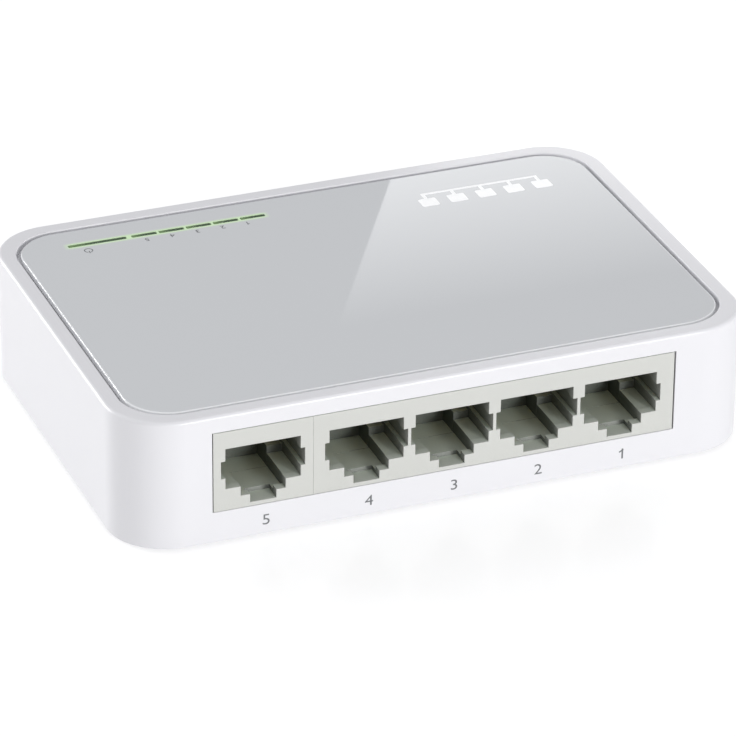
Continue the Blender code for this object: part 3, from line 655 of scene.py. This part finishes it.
begins = ranged(tree, along, 0.0, 1.0, left_end - HALO_PAST, left_end + HALO_SHORT)
ends = ranged(tree, along, 1.0, 0.0, right_end - HALO_SHORT, right_end + HALO_PAST)
share = across
for part in (begins, ends):
    times = add_node(tree, "Math")
    times.operation = "MULTIPLY"
    tree.links.new(share, times.inputs[0])
    tree.links.new(part, times.inputs[1])
    share = times.outputs[0]
# Painted highlight: the rounded rim and the plate's sides below it are painted near white.
RIM_HIGHLIGHT_START = PLATE_HIGH.z - 0.01 * MM
RIM_HIGHLIGHT_FULL = PLATE_HIGH.z - 0.09 * MM
rim_highlight_share = ranged(tree, axes.outputs["Z"], 1.0, 0.0, RIM_HIGHLIGHT_FULL, RIM_HIGHLIGHT_START)
with_rim_highlight = blend(tree, rim_highlight_share, base_grey, PAINTED_RIM_HIGHLIGHT)
tree.links.new(blend(tree, share, with_rim_highlight, HALO_GREEN), shader.inputs["Base Color"])
hand_over(plate, "plate_glossy", "grey_plate", "top_plate")

# %% [markdown]
# ## Light bars
#
# One clear green moulding carries the light of six small lamps up to the plate: a rail under the
# web, a leg down to each lamp, and a thin blade in each slot. Each blade is pale at its left end
# and deep green at its right end, so its colour is a ramp along the blade.

# %% The light guide
RAIL_TOP = WEB_BOTTOM - 0.2 * MM
LEG = 1.6 * MM
guide = block(
    (GUIDE_LOW.x, LAMP_Y - MM, RAIL_TOP - LEG), (GUIDE_HIGH.x, LAMP_Y + MM, RAIL_TOP)
)
for left, right in BARS:
    blade = block(
        (left, LAMP_Y - BAR_WIDTH / 2, RAIL_TOP - LEG / 2),
        (right, LAMP_Y + BAR_WIDTH / 2, PLATE_HIGH.z),
    )
    round_edges(blade, upright, 0.14 * MM, 3)
    round_edges(blade, level(PLATE_HIGH.z), 0.06 * MM, 2)
    combine(guide, blade, "UNION")
    x = (left + right) / 2
    leg = block(
        (x - LEG / 2, LAMP_Y - LEG / 2, GUIDE_LOW.z),
        (x + LEG / 2, LAMP_Y + LEG / 2, RAIL_TOP - LEG / 2),
    )
    combine(guide, leg, "UNION")
tree, shader, _ = finish("clear_acrylic", (0.05, 0.115, 0.03), 0.12, cloud=0.1, depth=0.001)
spot = tree.nodes.new("ShaderNodeTexCoord").outputs["Object"]
axes = tree.nodes.new("ShaderNodeSeparateXYZ")
tree.links.new(spot, axes.inputs[0])
steps = add_node(tree, "Math")
steps.operation = "WRAP"
steps.inputs[1].default_value = BARS[2][0]
steps.inputs[2].default_value = BARS[1][0]
tree.links.new(axes.outputs["X"], steps.inputs[0])
along_port = ranged(tree, steps.outputs[0], 0.0, 1.0, BARS[1][0], BARS[1][1])
along_power = ranged(tree, axes.outputs["X"], 0.0, 1.0, *POWER_BAR)
beyond = ranged(tree, axes.outputs["X"], 0.0, 1.0, POWER_BAR[1], POWER_BAR[1] + 0.01 * MM)
choose = add_node(tree, "Mix")
tree.links.new(beyond, choose.inputs[0])
tree.links.new(along_power, choose.inputs[2])
tree.links.new(along_port, choose.inputs[3])
deepens = ranged(tree, choose.outputs[0], 0.0, 1.0, 0.0, 0.45)
shade = blend(tree, deepens, (0.16, 0.27, 0.1), (0.03, 0.07, 0.025))
tree.links.new(shade, shader.inputs["Base Color"])
hand_over(guide, "light_bars", "clear_acrylic", "light_guide")

# %% [markdown]
# ## Socket blocks
#
# The five sockets come in two grey mouldings: one alone at the left and a row of four. A socket
# is a stepped hole: the plug's body, a notch in each side, the latch's slot below it, and a
# channel behind. All five are alike, so one cutter is built from boxes at the origin and copied
# to each port. Its heights are counted from the block's underside.

# %% One socket as a cutter
MOUTH_FLOOR = 3.65 * MM
MOUTH_CEILING = 10.45 * MM
LATCH_FLOOR = 2.05 * MM
TAB_FLOOR = 0.65 * MM
CHANNEL_FLOOR = 1.35 * MM


def bands(grow, floor_height, latch_floor):
    """Half width, lowest and highest level of the plug's room, its notches and its latch slot."""
    half = 6.0 * MM + grow
    return [
        (half, floor_height, MOUTH_CEILING + grow),
        (half + 0.7 * MM, 5.45 * MM - grow, 8.35 * MM + grow),
        (3.58 * MM + grow, latch_floor, floor_height + MM),
    ]


def stepped(parts, near, far):
    """Joins the bands of one section into a solid from near to far behind the front face."""
    solid = None
    for half, low, high in parts:
        piece = block(
            (-half, FRONT + near, JACK_BOTTOM + low), (half, FRONT + far, JACK_BOTTOM + high)
        )
        solid = piece if solid is None else combine(solid, piece, "UNION")
    return solid


mouth = stepped(
    bands(0.0, MOUTH_FLOOR, LATCH_FLOOR) + [(2.08 * MM, TAB_FLOOR, LATCH_FLOOR + MM)],
    -MM, 3.1 * MM,
)
combine(mouth, stepped(bands(0.1 * MM, 3.55 * MM, CHANNEL_FLOOR), 1.5 * MM, 8.4 * MM), "UNION")
combine(mouth, stepped(bands(0.05 * MM, 4.85 * MM, 1.4 * MM), 1.6 * MM, 12.6 * MM), "UNION")
combine(mouth, block(
    (-4.6 * MM, FRONT + 1.4 * MM, JACK_BOTTOM + 9.45 * MM),
    (4.6 * MM, FRONT + 17.5 * MM, JACK_BOTTOM + 12.8 * MM),
), "UNION")
combine(mouth, block(
    (-4.5 * MM, FRONT + 14.25 * MM, JACK_BOTTOM - MM),
    (4.5 * MM, FRONT + 17.0 * MM, JACK_BOTTOM + 12.7 * MM),
), "UNION")
print("socket cutter", len(mouth.data.polygons), "faces")


# %% The two blocks
def mouth_rim(one, other):
    """Edges of the mouths at the front face."""
    flat = abs(one.y - FRONT) < 1e-6 and abs(other.y - FRONT) < 1e-6
    return flat and all(
        JACK_BOTTOM + 0.3 * MM < p.z < JACK_TOP - 0.3 * MM for p in (one, other)
    )


def front_outline(one, other):
    """Outer edges of the block's front face."""
    return abs(one.y - FRONT) < 1e-6 and abs(other.y - FRONT) < 1e-6


def socket_block(low, high, ports):
    """A block with a socket and two pegs for each of its ports."""
    body = block((low.x, FRONT, JACK_BOTTOM), (high.x, FRONT + JACK_LENGTH, JACK_TOP))
    round_edges(body, front_outline, 0.025 * MM, 2)
    for port in ports:
        tool = mouth.copy()
        tool.data = mouth.data.copy()
        bpy.context.scene.collection.objects.link(tool)
        tool.location.x = PORT_X[port]
        combine(body, settle(tool))
        for hand in (-1, 1):
            x = PORT_X[port] + hand * 5.0 * MM
            y = FRONT + 9.5 * MM
            peg = rod((x, y, low.z), (x, y, JACK_BOTTOM + 0.5 * MM), 1.5 * MM, 32)
            combine(body, round_edges(peg, level(low.z), 0.3 * MM, 2), "UNION")
    return round_edges(body, mouth_rim, 0.08 * MM, 2)


SINGLE_HIGH.x = SEAM - SEAM_GAP / 2
GANG_LOW.x = SEAM + SEAM_GAP / 2
single = socket_block(SINGLE_LOW, SINGLE_HIGH, (5,))
hand_over(single, "socket_block_port_5", "jack_plastic", "jack_housing_port_5")
gang = socket_block(GANG_LOW, GANG_HIGH, (4, 3, 2, 1))
hand_over(gang, "socket_block_ports_1_to_4", "jack_plastic", "jack_housing_ports_1_to_4")
bpy.data.objects.remove(mouth, do_unlink=True)

# %% [markdown]
# ## Contact springs
#
# Eight gold-plated wires hang from the top of each socket and slope down towards its back. They
# are thin, so each one is a square bar with rounded long edges, turned by 25 degrees about its
# root. One comb is modelled and copied to the other ports, and each comb rides on its own body.

# %% One comb and its copies
COMB_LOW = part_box("contact_springs_1")[0]
ROOT_Y = FRONT + 2.2 * MM
ROOT_Z = JACK_BOTTOM + 10.9 * MM
ARM = 8.6 * MM
SLOPE = math.radians(25.0)
ROOT_BAR_HALF_LENGTH = 4.064 * MM
ROOT_BAR_HALF = 0.4 * MM
WIRE_PITCH = 1.016 * MM
WIRE_HALF_WIDTH = 0.225 * MM
WIRE_HALF_HEIGHT = 0.175 * MM


def long_edge(one, other):
    """Edges that run along Y."""
    return abs(one.x - other.x) < 1e-6 and abs(one.z - other.z) < 1e-6


def comb_at(x):
    """A root bar with eight wires, centred on x."""
    bar = block(
        (x - ROOT_BAR_HALF_LENGTH, ROOT_Y - ROOT_BAR_HALF, ROOT_Z - ROOT_BAR_HALF),
        (x + ROOT_BAR_HALF_LENGTH, ROOT_Y + ROOT_BAR_HALF, ROOT_Z + ROOT_BAR_HALF),
    )
    round_edges(bar, everywhere, 0.12 * MM, 2)
    for number in range(8):
        wire_x = x + (number - 3.5) * WIRE_PITCH
        wire = block(
            (wire_x - WIRE_HALF_WIDTH, ROOT_Y, ROOT_Z - WIRE_HALF_HEIGHT),
            (wire_x + WIRE_HALF_WIDTH, ROOT_Y + ARM, ROOT_Z + WIRE_HALF_HEIGHT),
        )
        round_edges(wire, long_edge, 0.12 * MM, 3)
        only(wire)
        bpy.ops.transform.rotate(
            value=SLOPE, orient_axis="X", center_override=(wire_x, ROOT_Y, ROOT_Z)
        )
        combine(bar, settle(wire), "UNION")
    return bar


first = comb_at(PORT_X[1])
low = min(v.co.z for v in first.data.vertices)
print("comb reaches down to", round(low / MM, 2), "and the model's to", round(COMB_LOW.z / MM, 2))
combs = {1: first}
for port in (2, 3, 4, 5):
    copy = first.copy()
    copy.data = first.data.copy()
    bpy.context.scene.collection.objects.link(copy)
    copy.location.x = PORT_X[port] - PORT_X[1]
    combs[port] = settle(copy)
for port, comb in combs.items():
    hand_over(
        comb, f"contact_wires_{port}", "gold_plating", f"contact_springs_{port}",
        body=f"contacts_port_{port}",
    )

# %% [markdown]
# ## Power socket
#
# A black socket for a barrel plug sits in the right-hand wall. Its collar fills the round hole,
# its bore is deep and dark, and a bright pin stands in the middle.

# %% The power socket
COLLAR_FACE = DC_HIGH.x
COLLAR_RADIUS = 4.0 * MM
BORE_RADIUS = 3.15 * MM
BORE_DEPTH = 9.6 * MM
PIN_RADIUS = 1.0 * MM
body = block((DC_LOW.x, DC_LOW.y, DC_LOW.z), (SIDE - WALL - GAP, DC_HIGH.y, DC_HIGH.z))
round_edges(body, everywhere, 0.25 * MM, 2)
collar = rod((SIDE - WALL - 2 * MM, DC_Y, DC_Z), (COLLAR_FACE, DC_Y, DC_Z), COLLAR_RADIUS)


def outer_ring(one, other):
    """The collar's edge at its outer face."""
    return abs(one.x - COLLAR_FACE) < 1e-6 and abs(other.x - COLLAR_FACE) < 1e-6


round_edges(collar, outer_ring, 0.2 * MM, 3)
combine(body, collar, "UNION")
bore = rod((COLLAR_FACE - BORE_DEPTH, DC_Y, DC_Z), (COLLAR_FACE + MM, DC_Y, DC_Z), BORE_RADIUS)
combine(body, bore)
combine(body, rod((DC_LOW.x - MM, DC_Y, DC_Z), (COLLAR_FACE - 8 * MM, DC_Y, DC_Z), 1.15 * MM, 32))
combine(body, block(
    (DC_LOW.x - MM, DC_Y - 1.35 * MM, DC_Z - 4.15 * MM),
    (COLLAR_FACE - 2.2 * MM, DC_Y + 1.35 * MM, DC_Z - 2.0 * MM),
))


def bore_rim(one, other):
    """The bore's edge at the collar's face."""
    return outer_ring(one, other) and all(
        math.hypot(p.y - DC_Y, p.z - DC_Z) < BORE_RADIUS + 0.15 * MM for p in (one, other)
    )


round_edges(body, bore_rim, 0.25 * MM, 3)
hand_over(body, "power_socket", "black_plastic", "dc_jack_housing")
pin = rod((PIN_LOW.x, DC_Y, DC_Z), (PIN_HIGH.x, DC_Y, DC_Z), PIN_RADIUS, 48)
round_edges(
    pin, lambda one, other: min(one.x, other.x) > PIN_HIGH.x - 1e-6, 0.45 * MM, 5
)
hand_over(pin, "power_pin", "tinned_metal", "dc_centre_pin")

# %% [markdown]
# ## Base cover
#
# The base closes the case from below. It has two rows of slots that let warm air through, a
# shallow field for the label, wells for the four rubber feet, two deep wells for the screws and
# four posts under the circuit board. Each slot is a round-ended block, and a loop sets them out
# along the two rows.

# %% The base
SLOT_PITCH = 4.0 * MM
SLOT_HALF_WIDTH = 0.8 * MM
SLOT_HALF_LENGTH = 4.5 * MM
SLOT_ROW = 19 * MM
FIELD_X = 22.25 * MM
FIELD_Y = 12.25 * MM
FOOT_WELL_RADIUS = 5.25 * MM
FOOT_WELL_DEPTH = 0.8 * MM
SCREW_WELL_RADIUS = 2.85 * MM
SCREW_HOLE_RADIUS = 1.6 * MM
SCREW_PAD_RADIUS = 4.1 * MM
POST_RADIUS = 2.4 * MM
base = rounded_block(
    BASE_LOW, (BASE_HIGH.x, BASE_HIGH.y, BASE_LOW.z + 1.6 * MM), CORNER_RADIUS - WALL - GAP
)
round_edges(base, level(BASE_LOW.z), 0.2 * MM, 2)
slots = []
for row in (-1, 1):
    for number in range(9):
        x = (number - 4) * SLOT_PITCH
        y = row * SLOT_ROW
        slot = block(
            (x - SLOT_HALF_WIDTH, y - SLOT_HALF_LENGTH, BASE_LOW.z - MM),
            (x + SLOT_HALF_WIDTH, y + SLOT_HALF_LENGTH, BASE_LOW.z + 3 * MM),
        )
        slots.append(round_edges(slot, upright, 0.75 * MM, 6))
combine(base, join_pieces(slots))
field = block(
    (-FIELD_X, -FIELD_Y, BASE_LOW.z - MM), (FIELD_X, FIELD_Y, BASE_LOW.z + 0.35 * MM)
)
combine(base, round_edges(field, upright, 1.0 * MM, 6))
FEET = [f"foot_{end}_{hand}" for end in ("front", "rear") for hand in ("left", "right")]
for name in FEET:
    low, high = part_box(name)
    x = (low.x + high.x) / 2
    y = (low.y + high.y) / 2
    well = rod((x, y, BASE_LOW.z - MM), (x, y, BASE_LOW.z + FOOT_WELL_DEPTH), FOOT_WELL_RADIUS, 96)
    combine(base, well)
for low, high in SCREWS.values():
    x = (low.x + high.x) / 2
    seat = BASE_LOW.z + 2.6 * MM
    pad = rod((x, 0, BASE_LOW.z + 0.8 * MM), (x, 0, seat + 1.6 * MM), SCREW_PAD_RADIUS, 64)
    combine(base, pad, "UNION")
    combine(base, rod((x, 0, BASE_LOW.z - MM), (x, 0, seat), SCREW_WELL_RADIUS, 64))
    combine(base, rod((x, 0, seat - MM), (x, 0, seat + 3 * MM), SCREW_HOLE_RADIUS, 32))
POST_TOP = 3.65 * MM
POSTS = ((-44.5, -16.9), (44.5, -16.9), (-44.5, 27.75), (44.5, 27.75))
for x, y in POSTS:
    x *= MM
    y *= MM
    post = rod((x, y, BASE_LOW.z + 0.8 * MM), (x, y, POST_TOP), POST_RADIUS, 32)
    combine(base, post, "UNION")


def underside(one, other):
    """Edges of the slots and wells at the underside."""
    inside = max(abs(one.x), abs(other.x)) < SIDE - 3 * MM
    inside = inside and max(abs(one.y), abs(other.y)) < BACK - 3 * MM
    return inside and level(BASE_LOW.z)(one, other)


round_edges(base, underside, 0.1 * MM, 2)
hand_over(base, "case_base", "white_abs", "base_cover")

# %% [markdown]
# ## Feet, screws and label
#
# The feet are soft pads with a rounded rim and a shallow ring in their face. The screws are pan
# heads with a cross recess. The label is a thin film with rounded corners; it is left blank.


# %% The feet
def foot_at(name):
    """A rubber pad with a ring pressed into its face."""
    low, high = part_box(name)
    x = (low.x + high.x) / 2
    y = (low.y + high.y) / 2
    pad = rod((x, y, low.z), (x, y, high.z), high.x - x, 96)
    round_edges(pad, level(low.z), 0.15 * MM, 3)
    ring = rod((x, y, low.z - MM), (x, y, low.z + 0.12 * MM), 3.6 * MM, 64)
    combine(ring, rod((x, y, low.z - 2 * MM), (x, y, high.z), 3.0 * MM, 64))
    combine(pad, ring)
    return hand_over(pad, f"rubber_{name}", "grey_rubber", name)


for name in FEET:
    foot_at(name)


# %% The screws
ARM_HALF_LENGTH = 1.5 * MM
ARM_HALF_WIDTH = 0.28 * MM
CROSS_DEPTH = 1.1 * MM


def screw_at(hand):
    """A pan-head screw whose cross recess opens downwards."""
    low, high = SCREWS[hand]
    x = (low.x + high.x) / 2
    head_top = low.z + 1.7 * MM
    head = rod((x, 0, low.z), (x, 0, head_top), high.x - x, 64)
    round_edges(head, level(low.z), 0.9 * MM, 5)
    shank = rod((x, 0, head_top - 0.2 * MM), (x, 0, high.z), 1.3 * MM, 32)
    round_edges(shank, level(high.z), 0.5 * MM, 2)
    combine(head, shank, "UNION")
    for wide, deep in ((ARM_HALF_LENGTH, ARM_HALF_WIDTH), (ARM_HALF_WIDTH, ARM_HALF_LENGTH)):
        arm = block((x - wide, -deep, low.z - MM), (x + wide, deep, low.z + CROSS_DEPTH))
        combine(head, arm)
    return hand_over(head, f"screw_{hand}", "tinned_metal", f"case_screw_{hand}")


for hand in SCREWS:
    screw_at(hand)

# %% The label
low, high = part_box("rating_label")
label = round_edges(block(low, high), upright, 0.9 * MM, 6)
hand_over(label, "blank_label", "label_film", "rating_label")

# %% [markdown]
# ## Printed marks
#
# Each port has its number below it, printed in grey on the white case. The light bars have a small
# number too, and the power mark, which read from the far side. Figures are flat curves: each is
# made a mesh before it is put in its place, and stands a hundredth of a millimetre proud. Every
# figure is widened a little, and the one is drawn as a stem with a flag.

# %% Inks and a helper for figures
finish("grey_ink", (0.13, 0.135, 0.14), 0.5, cloud=0.1, cloud_size=0.5, depth=0.001)
finish("pale_ink", (0.96, 0.965, 0.97), 0.5, cloud=0.03, cloud_size=0.5, depth=0.001)
INK = 0.012 * MM
WIDENED = 1.15


def numeral_one():
    """A plain stem with a flag, as the built-in letters draw a one without its flag."""
    stem = block((-0.05, -0.36, -INK / 2), (0.05, 0.36, INK / 2))
    flag = block((-0.27, 0.24, -INK / 2), (0.04, 0.33, INK / 2))
    only(flag)
    bpy.ops.transform.rotate(
        value=math.radians(-32), orient_axis="Z", center_override=(0.04, 0.33, 0)
    )
    return combine(stem, settle(flag), "UNION")


def built_in_numeral(text):
    """A figure in the built-in letters, as a mesh."""
    bpy.ops.object.select_all(action="DESELECT")
    bpy.ops.object.text_add()
    mark = bpy.context.object
    mark.data.body = text
    mark.data.extrude = INK / 2
    bpy.ops.object.convert(target="MESH")
    return bpy.context.object


def figure(text, height, centre, turn):
    """A printed figure of one height, centred on a point and turned by three angles."""
    mark = numeral_one() if text == "1" else built_in_numeral(text)
    points = [v.co for v in mark.data.vertices]
    low = [min(p[i] for p in points) for i in range(3)]
    high = [max(p[i] for p in points) for i in range(3)]
    size = height / (high[1] - low[1])
    for point in points:
        point.x = (point.x - (low[0] + high[0]) / 2) * size * WIDENED
        point.y = (point.y - (low[1] + high[1]) / 2) * size
    mark.location = centre
    mark.rotation_euler = turn
    return settle(mark)


# %% The numbers
NUMBER_SHIFT = 0.44 * MM
NUMBER_HEIGHT = 2.85 * MM
marks = []
for port in PORTS:
    centre = (PORT_X[port] + NUMBER_SHIFT, FRONT - INK / 2, NUMBER_HEIGHT)
    marks.append(figure(str(port), 1.75 * MM, centre, (math.pi / 2, 0, 0)))
hand_over(join_pieces(marks), "port_numbers", "white_abs", material="grey_ink")

# %% The numbers by the light bars
FIRST_X = -27.7 * MM
NUMBER_PITCH = 4.26 * MM
NUMBER_Y = 24.45 * MM
marks = []
for number, port in enumerate((5, 4, 3, 2, 1)):
    centre = (FIRST_X + number * NUMBER_PITCH, NUMBER_Y, PLATE_HIGH.z + INK / 2)
    marks.append(figure(str(port), 1.0 * MM, centre, (0, 0, math.pi)))
hand_over(join_pieces(marks), "bar_numbers", "grey_plate", material="grey_ink")


# %% The power mark
def ring_mark(centre, radius, stroke):
    """A flat ring."""
    top = centre + Vector((0, 0, INK))
    outer = rod(centre, top, radius, 48)
    past = Vector((0, 0, MM))
    return combine(outer, rod(centre - past, top + past, radius - stroke, 48))


place = Vector((-37.67 * MM, 24.0 * MM, PLATE_HIGH.z))
ring = ring_mark(place, 0.72 * MM, 0.15 * MM)
combine(ring, block(place + Vector((-0.25, -1.0, -1)) * MM, place + Vector((0.25, -0.3, 1)) * MM))
stem = block(place + Vector((-0.08, -0.95, 0)) * MM, place + Vector((0.08, -0.2, INK / MM)) * MM)
hand_over(join_pieces([ring, stem]), "power_mark", "grey_plate", material="grey_ink")

# %% [markdown]
# The plate's far right corner carries a plain picture of a network: five squares on one line.

# %% The network picture
LINE_START = 19.5 * MM
LINE_END = 39.1 * MM
LINE_NEAR = 24.1 * MM
LINE_FAR = 24.7 * MM
FIRST_SQUARE = 19.4 * MM
SQUARE_PITCH = 4.95 * MM
SQUARE_NEAR = 20.1 * MM
SQUARE_FAR = 22.8 * MM
SQUARE_HALF = 1.5 * MM
STEM_NEAR = 22.6 * MM
STEM_HALF = 0.3 * MM
INK_TOP = PLATE_HIGH.z + INK
picture = block((LINE_START, LINE_NEAR, PLATE_HIGH.z), (LINE_END, LINE_FAR, INK_TOP))
for number in range(5):
    x = FIRST_SQUARE + SQUARE_PITCH * number
    stem = block((x - STEM_HALF, STEM_NEAR, PLATE_HIGH.z), (x + STEM_HALF, LINE_FAR, INK_TOP))
    combine(picture, stem, "UNION")
    square = block(
        (x - SQUARE_HALF, SQUARE_NEAR, PLATE_HIGH.z), (x + SQUARE_HALF, SQUARE_FAR, INK_TOP)
    )
    combine(picture, round_edges(square, upright, 0.3 * MM, 3), "UNION")
hand_over(picture, "network_picture", "grey_plate", material="pale_ink")

# %% [markdown]
# ## The pieces kept from the model
#
# The circuit board, its chips and its lamps are hidden in the closed case, and their measured
# shapes are right as they are. They keep their meshes and take the finishes made above.

# %% Finishes for the kept pieces
kept = 0
for part in frame["record"]["subparts"]:
    node = frame["nodes"][part["node"]]
    if not node.hide_render:
        for place_in_list in node.material_slots:
            place_in_list.material = FINISHES[part["material_slot"]]
        kept += 1
print("kept pieces:", kept)
